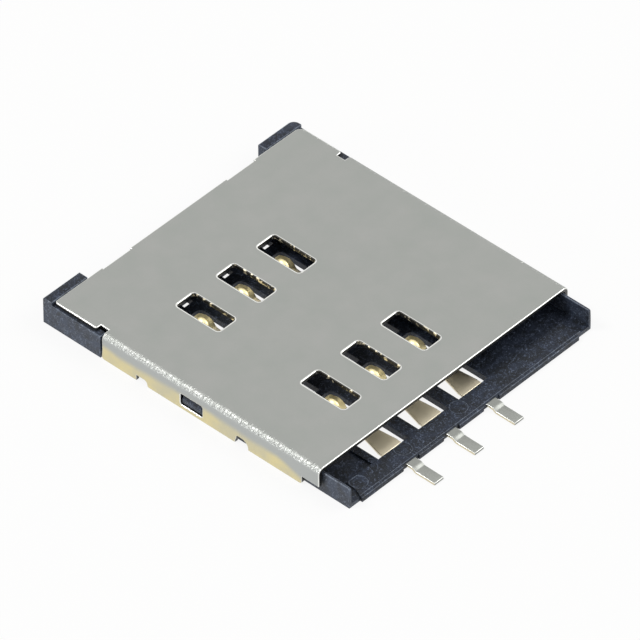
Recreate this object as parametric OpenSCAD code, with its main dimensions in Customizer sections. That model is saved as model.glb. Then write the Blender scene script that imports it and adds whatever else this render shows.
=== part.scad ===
// Low-profile socket for a 25 x 15 mm SIM card, soldered to the surface of a board.
// X runs across the card, the card slides in along +Y, Z is up from the board.
// The origin is under the middle of the shell, on the board.

/* [Card] */
// Width of the card
card_w = 15; // [13:0.1:17]
// Thickness of the card
card_t = 0.76; // [0.6:0.02:1]
// From the end of the card to the row of contacts nearest to it
card_row = 5; // [4.2:0.1:6]
// Spacing of the contacts in a row
pitch = 2.54; // [2.2:0.02:3]
// Spacing of the two rows
row_gap = 7.62; // [7.2:0.02:8.4]
// Shift of the contact group from the middle of the card
row_offset = -1.36; // [-2:0.02:2]

/* [Clearances] */
// Card to side rail
side_gap = 0.04; // [0.02:0.01:0.15]
// Card to the underside of the shell
top_gap = 0.14; // [0.1:0.01:0.3]
// Side rail to shell wall
shell_gap = 0.07; // [0.03:0.01:0.15]
// Top of the rail to the underside of the shell
rail_gap = 0.08; // [0.03:0.01:0.2]
// Rear post to the edge of the shell
post_gap = 0.03; // [0.02:0.01:0.15]
// Latch nub to the edges of its window
latch_gap = 0.04; // [0.02:0.01:0.1]
// Spring arm to the held part of its contact
spring_gap = 0.03; // [0.02:0.01:0.08]
// Tip of the spring arm to the end of its slot
slot_end = 0.5; // [0.2:0.05:0.6]

/* [Shell] */
// Sheet thickness
sheet_t = 0.18; // [0.1:0.01:0.25]
// Outer radius of the long bends
bend_r = 0.3; // [0.26:0.01:0.45]
// Length of the top plate
shell_l = 15.54; // [14.5:0.02:16.5]
// Length of the side walls, from the front edge
wall_l = 12.6; // [11.5:0.1:13.4]
// Width of the bend relief
relief_w = 0.46; // [0.3:0.02:0.6]
// Depth of the bend relief
relief_d = 0.45; // [0.36:0.01:0.6]
// Radius of the rear corner on the right
ear_right_r = 0.35; // [0.1:0.05:0.6]
// Radius of the rear corner on the left, next to the square post
ear_left_r = 0.14; // [0.1:0.02:0.6]
// Radius of the ear next to the relief
ear_front_r = 0.12; // [0.04:0.02:0.3]
// The ears are narrower than the folded walls by this much a side
ear_inset = 0.16; // [0.06:0.01:0.22]
// Middle of the shallow notches in the rear edge, from the middle of the plate
rear_notch_x = 3.92; // [3:0.02:4.6]
// Length of the shallow notches in the rear edge
rear_notch_l = 1.75; // [1:0.05:2]
// Depth of the shallow notches in the rear edge
rear_notch_d = 0.075; // [0.03:0.005:0.12]
// Length of a contact window
window_l = 2.5; // [2:0.05:2.9]
// Width of a contact window
window_w = 1.1; // [0.9:0.05:1.6]
// Corner radius of a contact window
window_r = 0.16; // [0.05:0.01:0.3]
// Sideways shift of the windows from the contacts
window_dx = 0.05; // [-0.1:0.01:0.1]
// Shift of the front windows from the front row
window_dy_front = 0.2; // [0:0.02:0.4]
// Shift of the rear windows from the rear row
window_dy_rear = -0.16; // [-0.3:0.02:0.3]

/* [Shell walls] */
// Middle of the latch window, from the front edge
latch_pos = 7.37; // [6.5:0.05:8]
// Length of the latch window
latch_l = 1.28; // [0.9:0.02:1.6]
// Lower edge of the latch window
latch_z = 0.22; // [0.16:0.01:0.3]
// Height of the latch window
latch_h = 0.61; // [0.4:0.01:0.7]
// Corner radius of the latch window
latch_r = 0.1; // [0.04:0.01:0.18]
// Front end of the rear solder notch, from the front edge
notch_a_pos = 9.95; // [9.4:0.05:10.4]
// Length of the rear solder notch
notch_a_l = 0.64; // [0.5:0.02:0.9]
// Height of the rear solder notch
notch_a_h = 0.3; // [0.28:0.01:0.4]
// Radius at the front end of the rear solder notch
notch_a_r = 0.18; // [0.1:0.01:0.27]
// Front end of the front solder notch, from the front edge
notch_b_pos = 4.07; // [3.4:0.05:4.6]
// Length of the front solder notch
notch_b_l = 0.7; // [0.56:0.02:1]
// Height of the front solder notch
notch_b_h = 0.44; // [0.42:0.01:0.5]
// Radius that blends the front solder notch into the edge
notch_b_r = 0.38; // [0.2:0.02:0.4]
// Length of the short front part of the wall
front_l = 0.99; // [0.7:0.05:1.3]
// Clearance under the short front part of the wall
front_h = 0.44; // [0.3:0.01:0.6]
// Small corner radius of the notches
notch_r = 0.12; // [0.05:0.01:0.14]

/* [Housing] */
// Floor thickness
floor_t = 0.3; // [0.26:0.01:0.4]
// Side rail thickness
rail_t = 0.13; // [0.1:0.01:0.25]
// Card stop, ahead of the rear edge of the shell
stop_setback = 0.07; // [0.05:0.01:0.3]
// Thickness of the rear wall
rear_t = 0.18; // [0.14:0.01:0.3]
// The rear wall ends this far below the shell
rear_drop = 0.2; // [0.1:0.01:0.3]
// Thickness of the rear posts behind the shell
post_t = 0.5; // [0.3:0.02:0.8]
// Length of a rear post along the rear edge
post_l = 2.27; // [1.4:0.05:2.8]
// Gap between the end of the shell wall and the side post
post_front = 0.09; // [0.05:0.01:0.2]
// Outer corner radius of the right rear post
post_r = 0.35; // [0.1:0.05:0.45]
// Width of the gutters beside the lip
gutter_w = 0.54; // [0.3:0.02:0.8]
// Depth of the gutters beside the lip
gutter_d = 0.1; // [0.04:0.01:0.15]
// Length of the gutters beside the lip
gutter_l = 2.6; // [1.8:0.1:3]
// The gutters widen by this much behind the front
gutter_flare = 0.2; // [0.05:0.05:0.3]
// Length of the lip beside the gutters, before the sunk floor
lip_l = 0.98; // [0.8:0.02:1.2]
// Inner edge of the sunk floor on the left, from the middle
sunk_left = 5.2; // [5.1:0.05:6]
// Inner edge of the sunk floor on the right, from the middle
sunk_right = 4.55; // [3.5:0.05:6]
// The lip ends this much earlier on the right
lip_trim = 0.22; // [0.05:0.01:0.4]
// The rails end this far behind the front of the lip
lip_step = 0.13; // [0.05:0.01:0.3]
// Length of the sloped lead-in on the lip
lead_l = 0.34; // [0.15:0.02:0.5]
// Drop of the sloped lead-in
lead_d = 0.05; // [0.02:0.01:0.06]
// Radius at the front top corner of a rail
rail_r = 0.1; // [0.05:0.01:0.2]
// Width of a contact slot
slot_w = 1.84; // [1.5:0.02:2]
// Corner radius at the end of a contact slot
slot_r = 0.25; // [0.1:0.05:0.5]
// Width of the recess round a tail
recess_w = 1; // [0.8:0.02:1.2]
// Depth of the recess round a tail
recess_d = 0.07; // [0.03:0.01:0.12]
// Diameter of an ejector mark
eject_d = 0.85; // [0.5:0.05:1]
// Depth of an ejector mark
eject_h = 0.02; // [0.01:0.005:0.025]
// Length of a moulding hole behind a rear contact
core_l = 0.54; // [0.3:0.02:0.7]
// Width of a moulding hole behind a rear contact
core_w = 0.36; // [0.2:0.02:0.5]

/* [Contacts] */
// Strip thickness
contact_t = 0.13; // [0.1:0.01:0.15]
// Height of the flat strip over the board
strip_z = 0.11; // [0.09:0.01:0.12]
// Height of the dome over the board
dome_z = 0.95; // [0.9:0.01:1]
// From the end of the slot to the dome
root_l = 3.43; // [3:0.01:3.7]
// Length of strip held in the plastic
bar_l = 1.08; // [0.8:0.02:1.3]
// Straight part of the tail before its bend
tail_flat = 0.25; // [0.15:0.05:0.4]
// Angle of the tail bend
tail_angle = 45; // [35:1:55]
// Length of the solder foot
foot_l = 1.05; // [0.7:0.05:1.2]
// Width of the tail
tail_w = 0.58; // [0.4:0.02:0.7]
// Width of the strip at the end of the slot
root_w = 1.17; // [1:0.01:1.3]
// Upward angle of the spring arm
arm_angle = 6.5; // [5:0.1:7.4]
// Angle of the steep front of the crest
crest_angle = 57; // [50:1:62]
// Bend radius at the foot of the crest, middle of the strip
crest_foot_r = 0.2; // [0.1:0.01:0.24]
// Bend radius over the crest, middle of the strip
crest_r = 0.455; // [0.4:0.005:0.5]
// Width of the spring arm at the dome
dome_w = 0.68; // [0.56:0.01:0.8]
// The arm starts to taper this far ahead of the dome
taper_start = 3.1; // [2.8:0.05:3.2]
// The arm has its full taper this far ahead of the dome
taper_end = 1.85; // [1.2:0.05:2.2]
// From the dome to the tip
tip_l = 0.5; // [0.4:0.01:0.6]
// Downward angle of the tip
tip_angle = 16; // [5:1:25]
// Corner radius of the tip
tip_r = 0.12; // [0.05:0.01:0.2]
// Height of the embossed dome over the strip
bead_h = 0.07; // [0.05:0.01:0.1]
// Radius of the dome along the arm
bead_r = 0.45; // [0.42:0.005:0.48]
// Radius of the dome across the arm
bead_side_r = 0.2; // [0.15:0.01:0.22]

/* [Node] */

/* [Hidden] */
$fn = 48;
// Overlap of a cutting solid past the face it cuts
over = 0.1;
front = 0;
rear = 1;

// Heights
plate_z = floor_t + card_t + top_gap;
total_h = plate_z + sheet_t;
rail_z = plate_z - rail_gap;

// Half widths, from the card outward
rail_in = card_w / 2 + side_gap;
rail_out = rail_in + rail_t;
shell_in = rail_out + shell_gap;
shell_out = shell_in + sheet_t;
lip_x = rail_in - gutter_w;
post_x = shell_out - post_l;

// Lengths along the card
shell_front = -shell_l / 2;
shell_rear = shell_l / 2;
wall_end = shell_front + wall_l;
ear_front = wall_end + relief_w;
stop_y = shell_rear - stop_setback;
post_rear = shell_rear + post_gap + post_t;
row_y = [stop_y - card_row - row_gap, stop_y - card_row];
column_x = [row_offset - pitch, row_offset, row_offset + pitch];
window_dy = [window_dy_front, window_dy_rear];
latch_y = shell_front + latch_pos;

// Contact strip, measured from its dome
strip_mid = strip_z + contact_t / 2;
held_y = -root_l - bar_l;
tail_r = strip_z / (2 * (1 - cos(tail_angle)));
bend_a = [held_y - tail_flat, strip_mid - tail_r];
bend_b = [bend_a[0] - 2 * tail_r * sin(tail_angle), contact_t / 2 + tail_r];
foot_end = bend_b[0] - foot_l;
hinge_y = -root_l + contact_t / 2 + spring_gap;
crest_z = dome_z - bead_h - contact_t / 2;
crest_c = [0, crest_z - crest_r];

// The arm and the steep front of the crest meet at a corner, rounded by the bend at the foot of the crest
arm_dir = [cos(arm_angle), sin(arm_angle)];
steep_dir = [cos(crest_angle), sin(crest_angle)];
crest_start = crest_c + crest_r * [-steep_dir[1], steep_dir[0]];
arm_root = [hinge_y, strip_mid];
corner_l = side_of(crest_start - arm_root, steep_dir) / side_of(arm_dir, steep_dir);
tangent_l = crest_foot_r * tan((crest_angle - arm_angle) / 2);
foot_c = arm_root + (corner_l - tangent_l) * arm_dir + crest_foot_r * [-arm_dir[1], arm_dir[0]];

// Front of the moulding
lip_front = row_y[front] + held_y;
rail_front = lip_front + lip_step;

// Signed area between two directions
function side_of(a, b) = a[0] * b[1] - a[1] * b[0];

// Points on an arc from angle a to angle b
function arc(c, r, a, b, n) = [for (i = [0:n]) c + r * [cos(a + (b - a) * i / n), sin(a + (b - a) * i / n)]];

// Rectangle from the origin with its two upper corners rounded
module tab_2d(w, h, r_left, r_right) {
    translate([r_left, 0])
        square([w - r_left - r_right, h]);
    if (r_left > 0) {
        square([r_left, h - r_left]);
        translate([r_left, h - r_left])
            circle(r_left);
    }
    if (r_right > 0) {
        translate([w - r_right, 0])
            square([r_right, h - r_right]);
        translate([w - r_right, h - r_right])
            circle(r_right);
    }
}

// What a rounded lower corner takes off a square one at the origin
module flare_2d(r) {
    difference() {
        square(r);
        translate([r, r])
            circle(r);
    }
}

// Rounded rectangle about the origin
module window_2d(w, l, r) {
    square([w - 2 * r, l], center = true);
    square([w, l - 2 * r], center = true);
    for (x = [r - w / 2, w / 2 - r], y = [r - l / 2, l / 2 - r])
        translate([x, y])
            circle(r);
}

// Extrudes a side view (Y, Z) along X, centred
module across(w) {
    rotate([90, 0, 90])
        linear_extrude(w, center = true)
            children();
}

// Places a copy at every contact of the rows given
module at_contacts(rows) {
    for (row = rows, x = column_x)
        translate([x, row_y[row], 0])
            children();
}

// Cross-section (X, Z) of a folded channel with the outer bend radius r
module channel_2d(half, top, r) {
    translate([-half, -over])
        tab_2d(2 * half, top + over, r, r);
}

// Folded sheet: channel section, ears and the flat rear of the plate
module shell_blank() {
    difference() {
        translate([0, wall_end, 0])
            rotate([90, 0, 0])
                linear_extrude(wall_l)
                    channel_2d(shell_out, total_h, bend_r);
        translate([0, wall_end + over, 0])
            rotate([90, 0, 0])
                linear_extrude(wall_l + 2 * over)
                    channel_2d(shell_in, plate_z, bend_r - sheet_t);
        translate([-card_w, shell_front - over, -card_t])
            cube([2 * card_w, shell_l, card_t]);
    }
    translate([0, 0, plate_z])
        linear_extrude(sheet_t)
            rear_plate_2d();
}

// Plan of the plate behind the side walls
module rear_plate_2d() {
    translate([relief_d - shell_out, wall_end - over])
        square([2 * (shell_out - relief_d), shell_rear - wall_end + over]);
    ear_2d(ear_right_r);
    mirror([1, 0])
        ear_2d(ear_left_r);
}

module ear_2d(corner_r) {
    translate([0, shell_rear])
        rotate(-90)
            tab_2d(shell_rear - ear_front, shell_out - ear_inset, corner_r, ear_front_r);
}

// Side view of everything cut from the walls
module wall_cuts_2d() {
    translate([shell_front, 0]) {
        translate([latch_pos, latch_z + latch_h / 2])
            window_2d(latch_l, latch_h, latch_r);
        translate([notch_a_pos, 0]) {
            translate([0, -over])
                tab_2d(notch_a_l, notch_a_h + over, min(notch_a_r, notch_a_h - notch_r), 0);
            mirror([1, 0])
                flare_2d(notch_r);
        }
        translate([notch_b_pos, 0]) {
            translate([0, -over])
                tab_2d(notch_b_l, notch_b_h + over, notch_b_r, notch_r);
            translate([notch_b_l, 0])
                flare_2d(notch_r);
        }
        translate([-over, -over])
            square([front_l + over, front_h + over]);
        translate([front_l, 0])
            flare_2d(notch_r);
        translate([wall_l, 0])
            mirror([1, 0])
                flare_2d(notch_r);
    }
}

module shell() {
    color("#a9aca6")
        difference() {
            shell_blank();
            across(2 * shell_out + 1)
                wall_cuts_2d();
            translate([0, 0, plate_z - over])
                linear_extrude(sheet_t + 2 * over) {
                    for (row = [front, rear], x = column_x)
                        translate([x + window_dx, row_y[row] + window_dy[row]])
                            window_2d(window_w, window_l, window_r);
                    for (x = [-rear_notch_x, rear_notch_x])
                        translate([x, shell_rear])
                            square([rear_notch_l, 2 * rear_notch_d], center = true);
                }
        }
}

// Floor with its lip, sloped at the front for the card
module floor_plate() {
    translate([-rail_out, rail_front, 0])
        cube([2 * rail_out, stop_y + rear_t - rail_front, floor_t]);
    translate([-lip_trim / 2, 0, 0])
        across(2 * lip_x - lip_trim)
            polygon([
                [lip_front, 0],
                [lip_front, floor_t - lead_d],
                [lip_front + lead_l, floor_t],
                [rail_front + 1, floor_t],
                [rail_front + 1, 0]
            ]);
}

// Rail, side post and rear post of one side
module side_wall(side, corner_r) {
    mirror([side, 0, 0]) {
        translate([(rail_in + rail_out) / 2, rail_front, 0])
            across(rail_t)
                tab_2d(wall_end + 1 - rail_front, rail_z, rail_r, 0);
        linear_extrude(plate_z)
            post_plan_2d(corner_r);
        linear_extrude(total_h)
            intersection() {
                post_plan_2d(corner_r);
                translate([0, shell_rear + post_gap])
                    square([2 * card_w, post_t]);
            }
        latch_nub();
    }
}

// Plan of the rear corner on the right side
module post_plan_2d(corner_r) {
    difference() {
        translate([post_x, wall_end + post_front])
            square([post_l, post_rear - wall_end - post_front]);
        square([rail_in, stop_y]);
        if (corner_r > 0)
            translate([shell_out, post_rear])
                rotate(180)
                    difference() {
                        square(corner_r);
                        translate([corner_r, corner_r])
                            circle(corner_r);
                    }
    }
}

// Wedge that snaps into the latch window of the shell wall
module latch_nub() {
    translate([0, latch_y + latch_l / 2 - latch_gap, 0])
        rotate([90, 0, 0])
            linear_extrude(latch_l - 2 * latch_gap)
                polygon([
                    [rail_out - over, latch_z + latch_gap],
                    [shell_in + sheet_t / 2, latch_z + latch_gap],
                    [shell_in + sheet_t / 2, latch_z + latch_h / 2],
                    [rail_out, latch_z + latch_h - latch_gap],
                    [rail_out - over, latch_z + latch_h - latch_gap]
                ]);
}

// Slot and holding pocket of one contact
module contact_cut() {
    translate([-slot_w / 2, -root_l, -over])
        linear_extrude(floor_t + 2 * over)
            tab_2d(slot_w, root_l + tip_l + slot_end, slot_r, slot_r);
    translate([0, 0, strip_z])
        linear_extrude(contact_t)
            strip_plan_2d(held_y - over, -root_l + over);
    translate([-recess_w / 2, held_y - 1, -over])
        cube([recess_w, 1 + recess_d, floor_t + 2 * over]);
}

// Opening over the solder foot of a rear contact, and the hole behind its tip
module rear_cut() {
    translate([-recess_w / 2 - over, foot_end - 2 * over, -over])
        cube([recess_w + 2 * over, held_y - foot_end + 2 * over, floor_t + 2 * over]);
    translate([slot_w / 2 - 0.75 * core_l, tip_l + slot_end + core_l, -over])
        cube([core_l, core_w, floor_t + 2 * over]);
}

// Shallow marks of the ejector pins on the lip
module ejector_marks() {
    for (x = [-lip_x + 0.7 * eject_d, column_x[0] + eject_d / 3, column_x[1] + pitch / 2])
        translate([x, lip_front + lead_l + eject_d / 2, floor_t - eject_h])
            cylinder(d = eject_d, h = 1);
}

// Lowered floor between the lip and a rail, widening behind the lip
module gutter(inner) {
    translate([0, rail_front, floor_t - gutter_d])
        linear_extrude(1)
            polygon([
                [rail_in, -over],
                [lip_x, -over],
                [lip_x, 0],
                [lip_x - gutter_flare, lip_l / 2],
                [lip_x - gutter_flare, lip_l],
                [inner, lip_l],
                [inner, gutter_l],
                [rail_in, gutter_l]
            ]);
}

module housing() {
    color("#2c3038")
        difference() {
            union() {
                floor_plate();
                side_wall(0, post_r);
                side_wall(1, 0);
                translate([-post_x - over, stop_y, 0])
                    cube([2 * (post_x + over), rear_t, plate_z - rear_drop]);
            }
            gutter(sunk_right);
            mirror([1, 0, 0])
                gutter(sunk_left);
            at_contacts([front, rear])
                contact_cut();
            at_contacts([rear])
                rear_cut();
            ejector_marks();
        }
}

// Plan of the held part of the strip, with a shoulder in the plastic
module strip_plan_2d(y0, y1) {
    wide_y = held_y + bar_l / 3;
    polygon([
        [-tail_w / 2, y0],
        [tail_w / 2, y0],
        [tail_w / 2, wide_y],
        [root_w / 2, wide_y],
        [root_w / 2, y1],
        [-root_w / 2, y1],
        [-root_w / 2, wide_y],
        [-tail_w / 2, wide_y]
    ]);
}

// Side view of the tail: held strip, bend and solder foot
module tail_2d() {
    half = contact_t / 2;
    polygon(concat(
        [[-root_l, strip_z], [-root_l, strip_z + contact_t]],
        arc(bend_a, tail_r + half, 90, 90 + tail_angle, 6),
        arc(bend_b, tail_r - half, 270 + tail_angle, 270, 6),
        [[foot_end, contact_t], [foot_end, 0]],
        arc(bend_b, tail_r + half, 270, 270 + tail_angle, 6),
        arc(bend_a, tail_r - half, 90 + tail_angle, 90, 6)
    ));
}

// Side view of the spring arm: rounded root, rising arm, crest and straight tip
module arm_2d() {
    half = contact_t / 2;
    tip_dir = [cos(tip_angle), -sin(tip_angle)];
    tip_up = [sin(tip_angle), cos(tip_angle)];
    tip = crest_c + crest_r * tip_up + (tip_l - crest_r * sin(tip_angle)) / cos(tip_angle) * tip_dir;
    polygon(concat(
        arc(arm_root, half, 90 + arm_angle, 270 + arm_angle, 10),
        arc(foot_c, crest_foot_r + half, 270 + arm_angle, 270 + crest_angle, 6),
        arc(crest_c, crest_r - half, 90 + crest_angle, 90 - tip_angle, 10),
        [tip - half * tip_up, tip + half * tip_up],
        arc(crest_c, crest_r + half, 90 - tip_angle, 90 + crest_angle, 10),
        arc(foot_c, crest_foot_r - half, 270 + crest_angle, 270 + arm_angle, 6)
    ));
}

// Plan of the spring arm
module arm_plan_2d() {
    polygon([
        [-root_w / 2, -root_l],
        [root_w / 2, -root_l],
        [root_w / 2, -taper_start],
        [dome_w / 2, -taper_end],
        [dome_w / 2, 0],
        [-dome_w / 2, 0],
        [-dome_w / 2, -taper_end],
        [-root_w / 2, -taper_start]
    ]);
    translate([-dome_w / 2, -over])
        tab_2d(dome_w, tip_l + over, tip_r, tip_r);
}

// Embossed dome on the crest of the arm
module dome() {
    difference() {
        translate([0, 0, dome_z - bead_r])
            rotate([0, 90, 0])
                rotate_extrude()
                    translate([bead_r - bead_side_r, 0])
                        circle(bead_side_r);
        translate([0, crest_c[0], crest_c[1]])
            rotate([0, 90, 0])
                cylinder(r = crest_r, h = 2, center = true);
        translate([-1, -1, crest_z - contact_t - 2])
            cube([2, 2, 2]);
    }
}

module contact_tail(row, column) {
    color("#c9c6bd")
        translate([column_x[column], row_y[row], 0])
            intersection() {
                across(2 * root_w)
                    tail_2d();
                linear_extrude(1)
                    strip_plan_2d(foot_end, -root_l);
            }
}

module contact_arm(row, column) {
    color("#d6b04c")
        translate([column_x[column], row_y[row], 0]) {
            intersection() {
                across(2 * root_w)
                    arm_2d();
                linear_extrude(2)
                    arm_plan_2d();
            }
            dome();
        }
}

housing();
shell();
contact_tail(front, 0);  // front_left_tail
contact_arm(front, 0);  // front_left_arm
contact_tail(front, 1);  // front_middle_tail
contact_arm(front, 1);  // front_middle_arm
contact_tail(front, 2);  // front_right_tail
contact_arm(front, 2);  // front_right_arm
contact_tail(rear, 0);  // rear_left_tail
contact_arm(rear, 0);  // rear_left_arm
contact_tail(rear, 1);  // rear_middle_tail
contact_arm(rear, 1);  // rear_middle_arm
contact_tail(rear, 2);  // rear_right_tail
contact_arm(rear, 2);  // rear_right_arm
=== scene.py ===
"""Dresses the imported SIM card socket: broken edges, finishes, studio and camera.

Lengths are metres in the CAD frame: X runs across the card, Y is the way the card goes in, Z is up from
the board. Copies of the solids are worked on in millimetres, where Blender's edge tolerances hold.
"""
import logging
import math
from dataclasses import dataclass
from enum import Enum, IntEnum
from typing import Any

import bmesh
import bpy
from bmesh.types import BMEdge, BMesh, BMFace
from bpy.types import Material, Node, NodeSocket, NodeTree, Object
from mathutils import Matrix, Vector


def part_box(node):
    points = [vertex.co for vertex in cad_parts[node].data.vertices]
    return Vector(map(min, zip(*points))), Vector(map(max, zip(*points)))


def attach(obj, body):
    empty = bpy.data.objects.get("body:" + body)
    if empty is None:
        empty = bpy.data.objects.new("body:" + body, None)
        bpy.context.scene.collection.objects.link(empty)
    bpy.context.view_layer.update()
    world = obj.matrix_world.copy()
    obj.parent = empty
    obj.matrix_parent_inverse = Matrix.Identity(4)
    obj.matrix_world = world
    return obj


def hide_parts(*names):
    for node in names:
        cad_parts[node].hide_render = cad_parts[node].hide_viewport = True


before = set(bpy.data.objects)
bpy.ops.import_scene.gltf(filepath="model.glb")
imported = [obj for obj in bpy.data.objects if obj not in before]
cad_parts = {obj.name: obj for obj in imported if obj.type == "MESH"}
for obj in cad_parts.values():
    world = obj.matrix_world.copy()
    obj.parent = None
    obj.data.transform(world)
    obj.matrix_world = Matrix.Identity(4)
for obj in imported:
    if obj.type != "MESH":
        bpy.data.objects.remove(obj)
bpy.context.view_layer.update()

MM = 0.001
LOG = logging.getLogger("sim_card_socket")
WHITE = "#ffffff"
# Two faces that differ by less than this angle are one flat face.
FLAT = math.radians(0.5)
# Inputs of a Mix node that blends two colours.
FACTOR, FIRST, SECOND = 0, 6, 7
# Octaves of a noise, from soft blotches to fine grit.
SOFT, PLAIN, FINE, FINEST = 2.0, 3.0, 4.0, 5.0


class Row(Enum):
    """The two rows of contacts, by their place along the card."""

    FRONT = "front"
    REAR = "rear"


class Column(Enum):
    """The contacts of a row, seen from the mouth."""

    LEFT = "left"
    MIDDLE = "middle"
    RIGHT = "right"


class Stretch(Enum):
    """The two lengths of a contact strip that the model keeps apart."""

    TAIL = "tail"
    ARM = "arm"


class HousingSkin(IntEnum):
    """Material numbers of the moulding."""

    MOULDED = 0
    PAINTED_EDGE_HIGHLIGHT = 1
    PAINTED_LIT_SIDE = 2


class ShellSkin(IntEnum):
    """Material numbers of the folded sheet."""

    PLATED = 0
    PAINTED_ROLL_HIGHLIGHT = 1
    TORN = 2
    PAINTED_CUT_REFLECTION = 3


class ContactSkin(IntEnum):
    """Material numbers of a contact strip."""

    PLATED = 0
    SHEARED = 1
    PAINTED_TOP_HIGHLIGHT = 2


def linear(colour: str) -> tuple[float, float, float, float]:
    """Turns an sRGB hex colour into the linear values that shaders take.

    Args:
        colour: Six hex digits after a hash sign.

    Returns:
        Red, green, blue and an alpha of 1, linear.
    """
    # The numbers are those of the sRGB standard.
    channels = [int(colour[i : i + 2], 16) / 255 for i in (1, 3, 5)]
    return (*[c / 12.92 if c <= 0.04045 else ((c + 0.055) / 1.055) ** 2.4 for c in channels], 1.0)


def per_size(size: float) -> float:
    """Scale of a noise texture whose blotches measure the given size in metres."""
    return 1 / size


def feed(tree: NodeTree, node: Node, inputs: dict[Any, Any]) -> None:
    """Sets or links the inputs of a node.

    Args:
        tree: Node tree that holds the node.
        node: Node to feed.
        inputs: Socket name or number to a value, or to the node or the output socket that feeds it.
    """
    for key, value in inputs.items():
        if isinstance(value, Node):
            value = next(out for out in value.outputs if out.enabled)
        if isinstance(value, NodeSocket):
            tree.links.new(value, node.inputs[key])
        else:
            node.inputs[key].default_value = value


def add_node(tree: NodeTree, kind: str, inputs: dict[Any, Any], **settings: Any) -> Node:
    """Adds one node with its settings, values and links.

    Args:
        tree: Node tree that gets the node.
        kind: Blender's name for the node type, without its prefix.
        inputs: Socket name or number to a value, or to the node or the output socket that feeds it.
        **settings: Attributes of the node.

    Returns:
        The new node.
    """
    node = tree.nodes.new(f"ShaderNode{kind}")
    for name, value in settings.items():
        setattr(node, name, value)
    feed(tree, node, inputs)
    return node


def start_material(name: str) -> tuple[Material, NodeTree, Node, NodeSocket]:
    """Makes an empty physically based material that reads Object coordinates.

    Args:
        name: Name of the material.

    Returns:
        The material, its node tree, its shader and the Object coordinates.
    """
    material = bpy.data.materials.new(name)
    material.use_nodes = True
    tree = material.node_tree
    shader = tree.nodes["Principled BSDF"]
    place = add_node(tree, "TexCoord", {}).outputs["Object"]
    return material, tree, shader, place


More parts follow.
